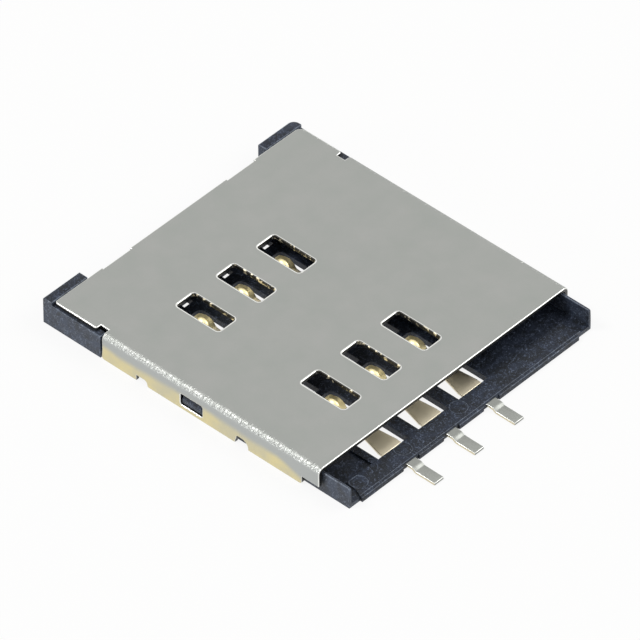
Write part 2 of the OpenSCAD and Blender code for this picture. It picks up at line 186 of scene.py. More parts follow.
@dataclass(frozen=True)
class NickelSheetFinish:
    """Nickel plate on rolled stainless sheet, folded, with gold flash along its solder edge.

    Attributes:
        half_width: Half the width over the walls.
        height: Height of the plate's top.
        bend: Outer radius of the long bends.
        sheet: Thickness of the sheet.
        plate: Colour of the plate.
        plate_cloud: Colour of the faint clouds in it.
        cloud: Size of those clouds.
        wall: Colour of the walls, paler than the plate as a painted reflection of the white table.
        inside: Colour of the inner faces, painted palest as light for the arms below to mirror.
        gold: Colour of the gold flash.
        gold_top: Height that the gold reaches.
        gold_fade: Half the height over which it fades out.
        gold_sway: How far its upper edge sways, in fades.
        gold_wave: Length of those waves.
        gold_patch: Size of its thinner and thicker patches.
        gold_spread: Noise levels between which a patch goes from thin to full.
        gold_thin: Strength of the gold where it is thinnest.
        gold_front: Y at which the gold has sunk to its lowest, near the mouth.
        gold_run: Length over which it sinks.
        gold_fall: How far it sinks.
        craze: Size of the cracks in the plating on the bends.
        craze_tick: Squeeze of their pattern across the bend, which draws them out into ticks.
        craze_kink: How much the cracks wander.
        craze_depth: Depth of the cracks.
        craze_up: Where the crazing starts and is full, in bend radii below the plate's top.
        craze_out: Where it starts and is full, in bend radii in from the wall's outer face.
        grain: Size of the rolling grain.
        grain_depth: Depth of the grain.
        grain_strength: Strength of the grain's bump.
        satin: Least and greatest roughness of the grain.
        polish: How much smoother the inner faces are.
    """

    half_width: float
    height: float
    bend: float
    sheet: float = 0.18 * MM
    plate: str = "#9ea29d"
    plate_cloud: str = "#aaaaa7"
    cloud: float = 1.3 * MM
    wall: str = "#b3b6b4"
    inside: str = "#dcdcd7"
    gold: str = "#dfd3a4"
    gold_top: float = 0.72 * MM
    gold_fade: float = 0.22 * MM
    gold_sway: float = 1.6
    gold_wave: float = 3.2 * MM
    gold_patch: float = 0.9 * MM
    gold_spread: tuple[float, float] = (0.3, 0.7)
    gold_thin: float = 0.6
    gold_front: float = -7.0 * MM
    gold_run: float = 1.6 * MM
    gold_fall: float = 0.5 * MM
    # Cracks and grain are too fine to show at their real size of about 0.02 mm, so both are drawn coarser.
    craze: float = 0.12 * MM
    craze_tick: float = 0.4
    craze_kink: float = 0.8
    craze_depth: float = 0.065 * MM
    craze_up: tuple[float, float] = (0.8, 0.5)
    craze_out: tuple[float, float] = (1.1, 0.8)
    grain: float = 0.12 * MM
    grain_depth: float = 0.01 * MM
    grain_strength: float = 0.1
    satin: tuple[float, float] = (0.3, 0.42)
    polish: float = 0.2

    def inner(self, tree: NodeTree, up: NodeSocket, side: Node) -> Node:
        """Tells the inner faces of the folded sheet from its outer ones.

        Args:
            tree: Node tree to add to.
            up: Height.
            side: Distance from the middle plane.

        Returns:
            The node of a factor that is 1 inside and 0 outside.
        """
        under = add_node(tree, "Math", {0: up, 1: self.height - self.sheet / 2}, operation="LESS_THAN")
        within = add_node(
            tree, "Math", {0: side, 1: self.half_width - self.sheet / 2}, operation="LESS_THAN"
        )
        return add_node(tree, "Math", {0: under, 1: within}, operation="MULTIPLY")

    def nickel(self, tree: NodeTree, place: NodeSocket, up: NodeSocket, inner: Node) -> Node:
        """Colours the nickel: clouded on the plate, paler on the walls as a painted reflection, palest
        inside as painted light.

        Args:
            tree: Node tree to add to.
            place: Object coordinates.
            up: Height.
            inner: Factor that is 1 on the inner faces.

        Returns:
            The node of the colour.
        """
        clouds = add_node(tree, "TexNoise", {"Vector": place, "Scale": per_size(self.cloud), "Detail": FINE})
        plate = add_node(
            tree, "Mix",
            {FACTOR: clouds, FIRST: linear(self.plate), SECOND: linear(self.plate_cloud)},
            data_type="RGBA",
        )
        lower = add_node(
            tree, "MapRange",
            {"Value": up, "From Min": self.height, "From Max": self.height - self.bend},
            interpolation_type="SMOOTHSTEP",
        )
        # Below the bend the walls take a paler colour: a painted reflection of the white table.
        outside = add_node(
            tree, "Mix", {FACTOR: lower, FIRST: plate, SECOND: linear(self.wall)}, data_type="RGBA"
        )
        # The inner faces take the palest colour: painted light for the arms below to mirror.
        return add_node(
            tree, "Mix", {FACTOR: inner, FIRST: outside, SECOND: linear(self.inside)}, data_type="RGBA"
        )

    def flash(self, tree: NodeTree, place: NodeSocket, axes: Node) -> Node:
        """Soaks the gold up from the solder edge, wavy along its top, patchy, and lower near the mouth.

        Args:
            tree: Node tree to add to.
            place: Object coordinates.
            axes: Node that parts those coordinates.

        Returns:
            The node of the gold's strength.
        """
        falling = add_node(
            tree, "MapRange",
            {"Value": axes.outputs["Y"], "From Min": self.gold_front + self.gold_run,
             "From Max": self.gold_front, "To Max": self.gold_fall},
        )
        level = add_node(tree, "Math", {0: axes.outputs["Z"], 1: falling}, operation="ADD")
        wave = add_node(
            tree, "TexNoise", {"Vector": place, "Scale": per_size(self.gold_wave), "Detail": PLAIN}
        )
        sway = self.gold_sway * self.gold_fade
        soaked = add_node(tree, "Math", {0: wave, 1: -sway, 2: level}, operation="MULTIPLY_ADD")
        edge = self.gold_top - sway / 2
        low = add_node(
            tree, "MapRange",
            {"Value": soaked, "From Min": edge + self.gold_fade, "From Max": edge - self.gold_fade},
            interpolation_type="SMOOTHSTEP",
        )
        patches = add_node(
            tree, "TexNoise", {"Vector": place, "Scale": per_size(self.gold_patch), "Detail": SOFT}
        )
        thick = add_node(
            tree, "MapRange",
            {"Value": patches, "From Min": self.gold_spread[0],
             "From Max": self.gold_spread[1], "To Min": self.gold_thin},
        )
        return add_node(tree, "Math", {0: low, 1: thick}, operation="MULTIPLY")

    def relief(self, tree: NodeTree, place: NodeSocket, up: NodeSocket, side: Node, grain: Node) -> Node:
        """Crazes the plating on the bends, over a fine grain everywhere.

        Args:
            tree: Node tree to add to.
            place: Object coordinates.
            up: Height.
            side: Distance from the middle plane.
            grain: Noise of the rolling grain.

        Returns:
            The node of the bumped normal.
        """
        high = add_node(
            tree, "MapRange",
            {"Value": up, "From Min": self.height - self.craze_up[0] * self.bend,
             "From Max": self.height - self.craze_up[1] * self.bend},
        )
        outer = add_node(
            tree, "MapRange",
            {"Value": side, "From Min": self.half_width - self.craze_out[0] * self.bend,
             "From Max": self.half_width - self.craze_out[1] * self.bend},
        )
        bent = add_node(tree, "Math", {0: high, 1: outer}, operation="MULTIPLY")
        ticks = add_node(
            tree, "Mapping", {"Vector": place, "Scale": (self.craze_tick, 1.0, self.craze_tick)}
        )
        cracks = add_node(
            tree, "TexNoise",
            {"Vector": ticks, "Scale": per_size(self.craze), "Detail": PLAIN,
             "Distortion": self.craze_kink},
        )
        crazed = add_node(tree, "Bump", {"Strength": bent, "Distance": self.craze_depth, "Height": cracks})
        return add_node(
            tree, "Bump",
            {"Strength": self.grain_strength, "Distance": self.grain_depth, "Height": grain,
             "Normal": crazed},
        )

    def make(self) -> Material:
        """Builds the material from the shell's own height and width.

        Returns:
            The material.
        """
        # A satin grey that mirrors the room as soft bands, with the walls painted paler as a reflection of
        # the white table and the mirror-like inside painted palest as light, a warm stain along the solder
        # edge and a glitter of cracks on the bends.
        material, tree, shader, place = start_material("nickel_plated_rolled_sheet")
        axes = add_node(tree, "SeparateXYZ", {"Vector": place})
        up = axes.outputs["Z"]
        side = add_node(tree, "Math", {0: axes.outputs["X"]}, operation="ABSOLUTE")
        inner = self.inner(tree, up, side)
        colour = add_node(
            tree, "Mix",
            {FACTOR: self.flash(tree, place, axes), FIRST: self.nickel(tree, place, up, inner),
             SECOND: linear(self.gold)},
            data_type="RGBA",
        )
        grain = add_node(tree, "TexNoise", {"Vector": place, "Scale": per_size(self.grain), "Detail": FINE})
        satin = add_node(
            tree, "MapRange", {"Value": grain, "To Min": self.satin[0], "To Max": self.satin[1]}
        )
        rough = add_node(tree, "Math", {0: inner, 1: -self.polish, 2: satin}, operation="MULTIPLY_ADD")
        feed(tree, shader, {
            "Metallic": 1.0, "Base Color": colour, "Roughness": rough,
            "Normal": self.relief(tree, place, up, side, grain),
        })
        return material


@dataclass(frozen=True)
class EdgeShearAndSheenFinish:
    """Metal of an edge: sheared or torn by the punch, or painted with a highlight or a reflection.

    Attributes:
        name: Name of the material.
        colour: Colour of the metal.
        streak_colour: Colour of the shear streaks.
        roughness: Roughness of the metal.
        streak: Size of the streaks.
        spread: Noise levels between which the metal turns into a streak.
        gloss: How far a streak's roughness falls and rises.
    """

    name: str
    colour: str
    streak_colour: str
    roughness: float = 0.24
    # Shear streaks are too fine to show at their real size of about 0.01 mm, so they are drawn coarser.
    streak: float = 0.06 * MM
    spread: tuple[float, float] = (0.0, 1.0)
    gloss: tuple[float, float] = (-0.06, 0.1)

    def make(self) -> Material:
        """Builds the material, with shear streaks in its colour and gloss.

        Returns:
            The material.
        """
        # Sheared or torn by the punch, or painted with a highlight or a reflection, so brighter or darker
        # than the face beside it, and streaked.
        material, tree, shader, place = start_material(self.name)
        streaks = add_node(
            tree, "TexNoise", {"Vector": place, "Scale": per_size(self.streak), "Detail": SOFT}
        )
        shown = add_node(
            tree, "MapRange", {"Value": streaks, "From Min": self.spread[0], "From Max": self.spread[1]}
        )
        colour = add_node(
            tree, "Mix",
            {FACTOR: shown, FIRST: linear(self.colour), SECOND: linear(self.streak_colour)},
            data_type="RGBA",
        )
        rough = add_node(
            tree, "MapRange",
            {"Value": streaks, "To Min": self.roughness + self.gloss[0],
             "To Max": self.roughness + self.gloss[1]},
        )
        feed(tree, shader, {"Metallic": 1.0, "Base Color": colour, "Roughness": rough})
        return material


@dataclass(frozen=True)
class MouldedPolymerFinish:
    """Glass-filled liquid-crystal polymer, injection moulded.

    Attributes:
        name: Name of the material.
        dark: Colour of the skin.
        swirl: Colour of the flow swirls.
        fleck: Colour of the fibres that reach the skin.
        gloss: Specular level of the skin.
        swirl_size: Size of the swirls.
        swirl_spread: Noise levels between which the skin turns into a swirl.
        swirl_kink: How much the swirls wander.
        fleck_size: Size of the flecks.
        fleck_spread: Noise levels between which a fleck comes up.
        fleck_strength: Strength of the brightest flecks.
        fleck_grit: Roughness of the flecks' noise.
        fleck_kink: How much the flecks wander.
        satin: Least and greatest roughness of the skin.
        grain: Size of the mould's spark grain.
        grain_depth: Depth of that grain.
        grain_strength: Strength of the grain's bump.
    """

    name: str
    dark: str
    swirl: str
    fleck: str
    gloss: float
    swirl_size: float = 0.9 * MM
    swirl_spread: tuple[float, float] = (0.35, 0.68)
    swirl_kink: float = 1.4
    # Fibres and spark grain are too fine to show at their real size of about 0.01 mm, so both are coarser.
    fleck_size: float = 0.13 * MM
    fleck_spread: tuple[float, float] = (0.53, 0.74)
    fleck_strength: float = 0.9
    fleck_grit: float = 0.7
    fleck_kink: float = 1.5
    satin: tuple[float, float] = (0.34, 0.56)
    grain: float = 0.07 * MM
    grain_depth: float = 0.012 * MM
    grain_strength: float = 0.35

    def make(self) -> Material:
        """Builds the material, with swirls under flecks.

        Returns:
            The material.
        """
        # A blue-black skin with cloudy swirls where the melt flowed and pale specks where fibres show.
        material, tree, shader, place = start_material(self.name)
        swirls = add_node(
            tree, "TexNoise",
            {"Vector": place, "Scale": per_size(self.swirl_size), "Detail": FINEST,
             "Distortion": self.swirl_kink},
        )
        skin = add_node(
            tree, "MapRange",
            {"Value": swirls, "From Min": self.swirl_spread[0], "From Max": self.swirl_spread[1]},
            interpolation_type="SMOOTHSTEP",
        )
        base = add_node(
            tree, "Mix",
            {FACTOR: skin, FIRST: linear(self.dark), SECOND: linear(self.swirl)}, data_type="RGBA",
        )
        flecks = add_node(
            tree, "TexNoise",
            {"Vector": place, "Scale": per_size(self.fleck_size), "Detail": FINE,
             "Roughness": self.fleck_grit, "Distortion": self.fleck_kink},
        )
        shown = add_node(
            tree, "MapRange",
            {"Value": flecks, "From Min": self.fleck_spread[0],
             "From Max": self.fleck_spread[1], "To Max": self.fleck_strength},
        )
        colour = add_node(
            tree, "Mix", {FACTOR: shown, FIRST: base, SECOND: linear(self.fleck)}, data_type="RGBA"
        )
        rough = add_node(
            tree, "MapRange", {"Value": swirls, "To Min": self.satin[0], "To Max": self.satin[1]}
        )
        grain = add_node(tree, "TexNoise", {"Vector": place, "Scale": per_size(self.grain), "Detail": PLAIN})
        bump = add_node(
            tree, "Bump", {"Strength": self.grain_strength, "Distance": self.grain_depth, "Height": grain}
        )
        feed(tree, shader, {
            "Specular IOR Level": self.gloss, "Base Color": colour, "Roughness": rough, "Normal": bump,
        })
        return material


@dataclass(frozen=True)
class SpringStripFinish:
    """Rolled phosphor bronze under nickel, with gold only on the contact end.

    Attributes:
        row: Row of the contacts.
        gold_start: Y at which the gold starts.
        gold_fade: Length over which it comes up.
        arm: Colour of the arm.
        gold: Colour of the gold.
        rolling: Width of the rolling lines.
        stretch: Squeeze of their pattern along the strip, which draws them out.
        line_depth: Depth of the lines.
        line_strength: Strength of their bump.
        satin: Least and greatest roughness of the arm.
        gold_satin: How much rougher the gold is.
    """

    row: Row
    gold_start: float
    gold_fade: float = 0.25 * MM
    arm: str = "#ddd3ba"
    gold: str = "#fff0bc"
    # Rolling lines are too fine to show at their real size of about 0.01 mm, so they are drawn coarser.
    rolling: float = 0.09 * MM
    stretch: float = 0.12
    line_depth: float = 0.006 * MM
    line_strength: float = 0.05
    satin: tuple[float, float] = (0.3, 0.42)
    gold_satin: float = 0.06

    def make(self) -> Material:
        """Builds the material, with rolling lines along the strip and the gold from gold_start on.

        Returns:
            The material.
        """
        # A warm grey arm that takes broad soft reflections, and a yellow dome with one bright highlight.
        material, tree, shader, place = start_material(f"gold_tipped_bronze_{self.row.value}")
        axes = add_node(tree, "SeparateXYZ", {"Vector": place})
        dipped = add_node(
            tree, "MapRange",
            {"Value": axes.outputs["Y"], "From Min": self.gold_start,
             "From Max": self.gold_start + self.gold_fade},
            interpolation_type="SMOOTHSTEP",
        )
        along = add_node(tree, "Mapping", {"Vector": place, "Scale": (1.0, self.stretch, 1.0)})
        lines = add_node(
            tree, "TexNoise", {"Vector": along, "Scale": per_size(self.rolling), "Detail": PLAIN}
        )
        colour = add_node(
            tree, "Mix",
            {FACTOR: dipped, FIRST: linear(self.arm), SECOND: linear(self.gold)}, data_type="RGBA",
        )
        satin = add_node(
            tree, "MapRange", {"Value": lines, "To Min": self.satin[0], "To Max": self.satin[1]}
        )
        rough = add_node(tree, "Math", {0: dipped, 1: self.gold_satin, 2: satin}, operation="MULTIPLY_ADD")
        bump = add_node(
            tree, "Bump", {"Strength": self.line_strength, "Distance": self.line_depth, "Height": lines}
        )
        feed(tree, shader, {"Metallic": 1.0, "Base Color": colour, "Roughness": rough, "Normal": bump})
        return material


@dataclass(frozen=True)
class TinPlateFinish:
    """Matte tin electroplate on the solder tails.

    Attributes:
        pale: Colour of the crystals.
        shade: Colour between them.
        crystal: Size of a crystal.
        crystal_depth: Depth of the crystals.
        crystal_strength: Strength of their bump.
        satin: Least and greatest roughness.
    """

    pale: str = "#a3a5a0"
    shade: str = "#91938e"
    # Crystals are too fine to show at their real size of about 0.005 mm, so they are drawn coarser.
    crystal: float = 0.08 * MM
    crystal_depth: float = 0.008 * MM
    crystal_strength: float = 0.15
    satin: tuple[float, float] = (0.34, 0.5)

    def make(self) -> Material:
        """Builds the material, with the crystal in colour, gloss and bump.

        Returns:
            The material.
        """
        # A pale, slightly frosted grey with no sharp reflections.
        material, tree, shader, place = start_material("matte_tin_plate")
        frost = add_node(
            tree, "TexNoise", {"Vector": place, "Scale": per_size(self.crystal), "Detail": FINE}
        )
        colour = add_node(
            tree, "Mix",
            {FACTOR: frost, FIRST: linear(self.shade), SECOND: linear(self.pale)}, data_type="RGBA",
        )
        rough = add_node(
            tree, "MapRange", {"Value": frost, "To Min": self.satin[0], "To Max": self.satin[1]}
        )
        bump = add_node(
            tree, "Bump",
            {"Strength": self.crystal_strength, "Distance": self.crystal_depth, "Height": frost},
        )
        feed(tree, shader, {"Metallic": 1.0, "Base Color": colour, "Roughness": rough, "Normal": bump})
        return material


@dataclass
class DressedNode:
    """A CAD node's own shape with its sharp edges broken, as tumbling or the mould leaves them.

    Attributes:
        node: CAD node that the piece stands for.
        piece: Name of the finished piece.
        body: CAD body that the piece rides on.
        slot: Material slot of the record; not used.
        sharp: Least angle, in degrees, between two faces that counts as an edge.
        crease: Least angle, in degrees, across which the shading breaks.
        weld: Distance below which two corners are one.
        speck: Length below which an edge left by rounding is closed up.
        normal_weight: How strongly the large faces set the shading at rounded edges.
    """

    node: str
    piece: str
    body: str
    slot: str
    sharp: float = 40.0
    crease: float = 55.0
    weld: float = 0.008 * MM
    speck: float = 0.0005 * MM
    normal_weight: int = 100

    def solid(self) -> BMesh:
        """Copies the node's mesh in millimetres, with its flat faces whole.

        Returns:
            The merged copy.
        """
        mesh = bmesh.new()
        mesh.from_mesh(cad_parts[self.node].data)
        bmesh.ops.scale(mesh, vec=(1 / MM,) * 3, verts=mesh.verts)
        bmesh.ops.remove_doubles(mesh, verts=mesh.verts, dist=self.weld / MM)
        bmesh.ops.dissolve_limit(mesh, angle_limit=FLAT, verts=mesh.verts, edges=mesh.edges)
        return mesh

    def sharp_edges(self, mesh: BMesh) -> list[BMEdge]:
        """Finds the edges where two faces meet at more than the sharp angle."""
        least = math.radians(self.sharp)
        return [e for e in mesh.edges if len(e.link_faces) == 2 and e.calc_face_angle(0.0) > least]

    def round_over(self, mesh: BMesh, edges: list[BMEdge], width: float, segments: int) -> list[BMFace]:
        """Rounds edges over.

        Args:
            mesh: Copy of the node, in millimetres.
            edges: Edges of the copy.
            width: Width of the rounding on each side of an edge, in metres.
            segments: Facets of the rounding.

        Returns:
            The faces of the rounded edges.
        """
        made = bmesh.ops.bevel(
            mesh, geom=edges, offset=width / MM, offset_type="OFFSET", segments=segments, profile=0.5,
            affect="EDGES", clamp_overlap=False, material=-1,
        )
        return made["faces"]

    def finish(self, mesh: BMesh, materials: list[Material]) -> Object:
        """Turns the copy into a smooth-shaded piece that stands for the node.

        Args:
            mesh: Copy of the node, in millimetres, with its material numbers set.
            materials: Materials in the order of those numbers.

        Returns:
            The finished piece.
        """
        bmesh.ops.dissolve_degenerate(mesh, dist=self.speck / MM, edges=mesh.edges)
        bmesh.ops.scale(mesh, vec=(MM,) * 3, verts=mesh.verts)
        data = bpy.data.meshes.new(self.piece)
        mesh.to_mesh(data)
        mesh.free()
        # The node's own normals came along with the copy and would hide the creases.
        data.attributes.remove(data.attributes["custom_normal"])
        data.shade_smooth()
        data.set_sharp_from_angle(angle=math.radians(self.crease))
        for material in materials:
            data.materials.append(material)
        piece = bpy.data.objects.new(self.piece, data)
        bpy.context.scene.collection.objects.link(piece)
        weigh = piece.modifiers.new("flat_faces_stay_flat", "WEIGHTED_NORMAL")
        weigh.keep_sharp = True
        weigh.weight = self.normal_weight
        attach(piece, self.body)
        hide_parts(self.node)
        return piece


@dataclass
class Housing:
    """The moulded base, whose rounded upper edges carry a painted highlight and whose upper sides are
    painted lighter as if lit.

    Attributes:
        edge: Width of the rounded edges of the rails and posts, which carry a painted highlight.
        lip_edge: Width of the rounded edges across the mouth, which carry a painted highlight.
        lip_run: Least length of an edge across the mouth.
        lip_depth: How far behind the front face such an edge may lie.
        facets: Facets of a rounded edge.
        rail: Height above which an edge belongs to a rail or a post.
        mark: Greatest depth of an ejector mark.
        ring: Width of the ring of painted highlight in an ejector mark.
        level: Least upright share of the normal of a level face.
        touch: Distance within which two heights are the same.
    """

    edge: float = 0.045 * MM
    lip_edge: float = 0.025 * MM
    lip_run: float = 1.2 * MM
    lip_depth: float = 0.3 * MM
    facets: int = 2
    rail: float = 0.5 * MM
    mark: float = 0.03 * MM
    ring: float = 0.04 * MM
    level: float = 0.5
    touch: float = 0.001 * MM

    def skin_of(self, face: BMFace) -> HousingSkin:
        """Chooses a face's material: upper upright sides painted lighter as if lit, low walls of the ejector
        marks with a painted highlight.

        Args:
            face: Face of the copy, in millimetres.

        Returns:
            The material's number.
        """
        heights = [v.co.z for v in face.verts]
        if abs(face.normal.z) > self.level:
            return HousingSkin.MOULDED
        # The low walls of the ejector marks take a painted highlight.
        if max(heights) - min(heights) < self.mark / MM:
            return HousingSkin.PAINTED_EDGE_HIGHLIGHT
        # Upright faces that reach above rail height are painted lighter, as if lit.
        return HousingSkin.PAINTED_LIT_SIDE if max(heights) > self.rail / MM else HousingSkin.MOULDED

    def is_mark(self, face: BMFace) -> bool:
        """Whether a face is the floor of an ejector mark, level and at the foot of a very low wall.

        Args:
            face: Face of the copy, in millimetres.

        Returns:
            True for the floor of a mark.
        """
        foot = face.calc_center_median().z - self.touch / MM
        around = [f for e in face.edges for f in e.link_faces if self.skin_of(f) is HousingSkin.PAINTED_EDGE_HIGHLIGHT]
        return face.normal.z > self.level and any(min(v.co.z for v in f.verts) > foot for f in around)

    def ring_marks(self, mesh: BMesh) -> None:
        """Paints a narrow ring of highlight round the floor of each ejector mark.

        Args:
            mesh: Copy of the node, in millimetres.
        """
        floors = [face for face in mesh.faces if self.is_mark(face)]
        ringed = bmesh.ops.inset_individual(mesh, faces=floors, thickness=self.ring / MM)
        for face in ringed["faces"]:
            face.material_index = HousingSkin.PAINTED_EDGE_HIGHLIGHT

    def on_rail(self, edge: BMEdge) -> bool:
        """Whether a sharp edge, in millimetres, is an upper outer edge of a rail or a post."""
        return edge.is_convex and min(v.co.z for v in edge.verts) > self.rail / MM

    def on_lip(self, edge: BMEdge, front: float) -> bool:
        """Whether a sharp edge is one of the long upper edges across the mouth.

        Args:
            edge: Edge of the copy, in millimetres.
            front: Y of the mouth's front face, in millimetres.

        Returns:
            True for edges that run along X close to the front.
        """
        a, b = (v.co for v in edge.verts)
        across = abs(a.x - b.x) > self.lip_run / MM
        near = max(a.y, b.y) < front + self.lip_depth / MM
        return edge.is_convex and across and near and any(f.normal.z > self.level for f in edge.link_faces)

    def build(self) -> Object:
        """Builds and dresses the moulding.

        Returns:
            The finished piece.
        """
        part = DressedNode("housing", "base_moulding", "frame", "housing")
        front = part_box("housing")[0].y / MM
        mesh = part.solid()
        for face in mesh.faces:
            face.material_index = self.skin_of(face)
        self.ring_marks(mesh)
        rails = [e for e in part.sharp_edges(mesh) if self.on_rail(e)]
        repainted = part.round_over(mesh, rails, self.edge, self.facets)
        lips = [e for e in part.sharp_edges(mesh) if self.on_lip(e, front)]
        repainted += part.round_over(mesh, lips, self.lip_edge, self.facets)
        # The rounded edges take a painted highlight.
        for face in repainted:
            if face.is_valid:
                face.material_index = HousingSkin.PAINTED_EDGE_HIGHLIGHT
        moulded = MouldedPolymerFinish(
            "moulded_liquid_crystal_polymer", dark="#15191f", swirl="#272e3c", fleck="#76829a", gloss=0.3
        )
        # A lighter copy of the skin: a painted highlight on rounded edges and in the ejector marks.
        edge_highlight = MouldedPolymerFinish(
            "polymer_edge_painted_highlight", dark="#343b48", swirl="#5d6777", fleck="#b4bfcf", gloss=0.5
        )
        # A lighter copy of the skin on those upper sides: painted light.
        lit_side = MouldedPolymerFinish(
            "polymer_side_painted_light", dark="#222731", swirl="#384152", fleck="#8894a8", gloss=0.5
        )
        return part.finish(mesh, [moulded.make(), edge_highlight.make(), lit_side.make()])


@dataclass
class Shell:
    """The folded sheet over the card, stamped from above: its upper edges roll over and its cut faces tear.

    Attributes:
        roll: Width of the rolled-over outer edges.
        window_roll: Width of the same on the contact windows.
        solder_roll: Width of the same on the solder edge, whose notches have short sides.
        facets: Facets of a rolled edge.
        solder_facets: Facets of the solder edge.
        rim: Width of the flat rim round each contact window, which carries the rolled edges' painted
            highlight.
        bend: Outer radius of the long bends.
        dip: How far a facet of a bend may lie inside its true round.
        latch: Height of the middle of the latch windows.
        latch_run: Y of the two ends of a latch window.
        latch_margin: How far past those ends an edge still belongs to the latch window.
        solder: Height above the notches of the solder edge.
        strip: Height of the strip of wall that takes up the shading of the bend.
        border: Width of the plate's outer border, which has no contact window.
        touch: Distance within which a point lies on a face.
        snap: Distance within which a corner is moved onto a parting plane.
        square: Share of a normal that tells a cut face from the sheet's own faces.
        upright: Greatest upright share of the normal of a cut that ends a bend.
        skin: Least depth of such a cut below the wall's outer face.
        reflecting_side: Greatest X of the normal of a window's rolled edge that takes a painted reflection
            instead of a painted highlight.
        top: Least upright share of the normal of the plate's top.
    """

    roll: float = 0.04 * MM
    window_roll: float = 0.045 * MM
    solder_roll: float = 0.015 * MM
    facets: int = 3
    solder_facets: int = 2
    rim: float = 0.035 * MM
    bend: float = 0.3 * MM
    dip: float = 0.01 * MM
    latch: float = 0.525 * MM
    latch_run: tuple[float, float] = (-1.04 * MM, 0.24 * MM)
    latch_margin: float = 0.1 * MM
    solder: float = 0.46 * MM
    strip: float = 0.05 * MM
    border: float = 1.0 * MM
    touch: float = 0.002 * MM
    snap: float = 0.001 * MM
    square: float = 0.5
    upright: float = 0.1
    skin: float = 0.05 * MM
    reflecting_side: float = -0.2
    top: float = 0.999

    def outside(self, point: Vector, high: Vector) -> bool:
        """Whether a point lies on the outer skin of the folded sheet.

        Args:
            point: Point in millimetres.
            high: Largest corner of the shell's box, in millimetres.

        Returns:
            True on the plate's top, on the bends and on the outer faces of the walls.
        """
        bend = self.bend / MM
        across, up = abs(point.x) - high.x + bend, point.z - high.z + bend
        if max(across, up) > bend - self.touch / MM:
            return True
        return min(across, up) > 0 and math.hypot(across, up) > bend - self.dip / MM

    def is_cut(self, face: BMFace, high: Vector) -> bool:
        """Whether a face is a cut through the sheet.

        Args:
            face: Face of the copy, in millimetres.
            high: Largest corner of the shell's box, in millimetres.

        Returns:
            True for faces that stand square to the sheet.
        """
        middle, bend = face.calc_center_median(), self.bend / MM
        if abs(middle.x) < high.x - bend:
            return abs(face.normal.z) < self.square
        if middle.z < high.z - bend:
            return abs(face.normal.x) < self.square
        standing = abs(face.normal.z) < self.upright and abs(middle.x) < high.x - self.skin / MM
        return abs(face.normal.y) > self.square or standing

    def inland(self, point: Vector, high: Vector) -> bool:
        """Whether a point, in millimetres, lies inside the plate's outer border, seen from above."""
        border = self.border / MM
        return abs(point.x) < high.x - border and abs(point.y) < high.y - border

    def skin_of(self, face: BMFace, high: Vector) -> ShellSkin:
        """Chooses a face's material: plated skin, torn cut, or, in a contact window, a cut with a painted
        reflection.

        Args:
            face: Face of the copy, in millimetres.
            high: Largest corner of the shell's box, in millimetres.

        Returns:
            The material's number.
        """
        if not self.is_cut(face, high):
            return ShellSkin.PLATED
        window = self.inland(face.calc_center_median(), high)
        # Window cuts facing -X are painted dark with gold flecks: a painted reflection of the window's dark
        # inside and the gold contacts.
        return ShellSkin.PAINTED_CUT_REFLECTION if window and face.normal.x < -self.square else ShellSkin.TORN

    def part_walls(self, mesh: BMesh, top: float) -> None:
        """Parts the walls at two heights, so that each face has no hole, rolls evenly and shades flat.

        Args:
            mesh: Copy of the node, in millimetres.
            top: Height of the plate's upper face, in millimetres.
        """
        heights = (self.latch / MM, top - (self.bend + self.strip) / MM)
        touch = self.touch / MM
        for height in heights:
            bmesh.ops.bisect_plane(
                mesh, geom=[*mesh.verts, *mesh.edges, *mesh.faces], dist=self.snap / MM,
                plane_co=(0, 0, height), plane_no=(0, 0, 1),
            )
        loose = [
            e for e in mesh.edges
            if not any(all(abs(v.co.z - height) < touch for v in e.verts) for height in heights)
        ]
        bmesh.ops.dissolve_limit(mesh, angle_limit=FLAT, verts=[], edges=loose)

    def on_top(self, point: Vector, high: Vector) -> bool:
        """Whether a point, in millimetres, lies on the plate's top."""
        return point.z > high.z - self.touch / MM

    def in_window(self, item: BMEdge | BMFace, high: Vector) -> bool:
        """Whether an edge or a face, in millimetres, lies on the plate's top well inside its outline."""
        return all(self.inland(v.co, high) and self.on_top(v.co, high) for v in item.verts)

    def on_solder_edge(self, edge: BMEdge) -> bool:
        """Whether an edge is on the notched lower edge of a wall and not on its latch window.

        Args:
            edge: Edge of the copy, in millimetres.

        Returns:
            True for edges of the solder edge.
        """
        start = (self.latch_run[0] - self.latch_margin) / MM
        end = (self.latch_run[1] + self.latch_margin) / MM
        low = max(v.co.z for v in edge.verts) < self.solder / MM
        return low and not all(start < v.co.y < end for v in edge.verts)

    def rim_windows(self, mesh: BMesh, high: Vector) -> None:
        """Lays a narrow rim of painted highlight round each window on the plate's top.

        Args:
            mesh: Copy of the node, in millimetres.
            high: Largest corner of the shell's box, in millimetres.
        """
        plate = [
            f for f in mesh.faces
            if f.normal.z > self.top and all(self.on_top(v.co, high) for v in f.verts)
        ]
        laid = bmesh.ops.inset_region(
            mesh, faces=plate, thickness=(self.window_roll + self.rim) / MM, use_even_offset=True,
            use_boundary=True,
        )
        for face in laid["faces"]:
            # The rim inside a window takes the rolled edges' painted highlight.
            if self.in_window(face, high):
                face.material_index = ShellSkin.PAINTED_ROLL_HIGHLIGHT

    def outer_edges(self, part: DressedNode, mesh: BMesh, high: Vector) -> list[BMEdge]:
        """Finds the sharp edges of the outer skin.

        Args:
            part: The node that the copy was made from.
            mesh: Copy of the node, in millimetres.
            high: Largest corner of the shell's box, in millimetres.

        Returns:
            The edges that the punch rolled over.
        """
        return [e for e in part.sharp_edges(mesh) if all(self.outside(v.co, high) for v in e.verts)]

